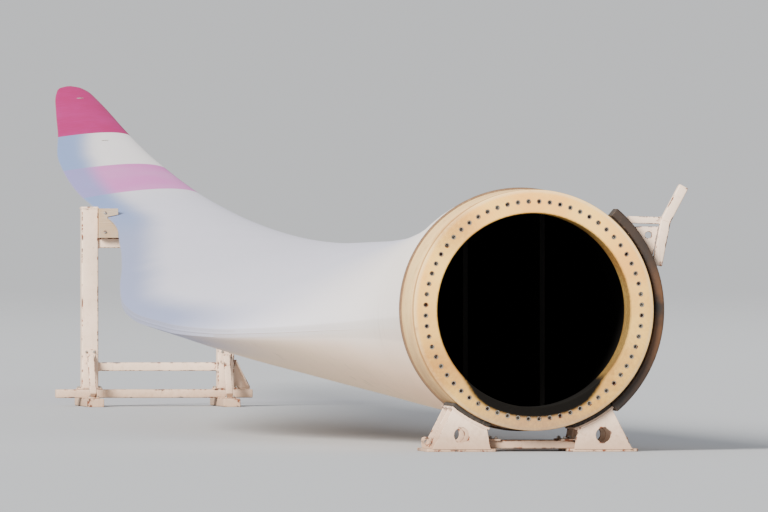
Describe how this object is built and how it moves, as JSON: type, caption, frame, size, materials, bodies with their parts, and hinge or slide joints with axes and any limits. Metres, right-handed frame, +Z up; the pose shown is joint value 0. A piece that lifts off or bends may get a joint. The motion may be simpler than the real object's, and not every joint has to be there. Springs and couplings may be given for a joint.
{
  "type": "wind turbine rotor blade on transport stands, 1:2 scale model",
  "caption": "Hollow tapering rotor blade with a round laminate root, a wide belly, a raised banded tip, lying on a low root stand and a tall tip stand.",
  "frame": {"origin": "middle of the whole object's footprint, on the ground", "axes": "+Z up; +Y along the blade from its root face to its tip; +X towards the leading edge, so the belly's trailing edge faces -X"},
  "size_m": [2.1138, 27.5, 1.9455],
  "materials": {
    "gelcoat": "satin gelcoat, off-white, with red and white bands at the tip",
    "laminate": "bare glass-fibre laminate, cream",
    "tip_red": "satin pinkish red paint",
    "rubber": "matt black",
    "web_panel": "matt foam-cored panel",
    "stand_paint": "worn off-white paint",
    "dark_paint": "matt near-black paint",
    "timber": "sawn softwood, weathered"
  },
  "bodies": {
    "root": {"root_laminate": "laminate", "root_seal": "rubber", "pressure_shell": "gelcoat", "suction_shell": "gelcoat", "leading_web": "web_panel", "trailing_web": "web_panel", "tip_cap": "tip_red", "root_saddle_right": "stand_paint", "root_saddle_left": "stand_paint", "root_pad_right": "rubber", "root_pad_left": "rubber", "root_tie_front": "stand_paint", "root_tie_rear": "stand_paint", "side_arc": "dark_paint", "handling_arm": "stand_paint", "arm_brace": "stand_paint", "arm_gusset": "stand_paint", "skid_left": "stand_paint", "skid_right": "stand_paint", "base_beam": "stand_paint", "post_left": "stand_paint", "post_right": "stand_paint", "knee_left_front": "stand_paint", "knee_left_rear": "stand_paint", "knee_right_front": "stand_paint", "knee_right_rear": "stand_paint", "knee_right_outer": "stand_paint", "low_bar": "stand_paint", "saddle_beam": "stand_paint", "cradle_block": "timber", "cradle_lining": "rubber", "edge_guard": "timber"}
  },
  "joints": []
}
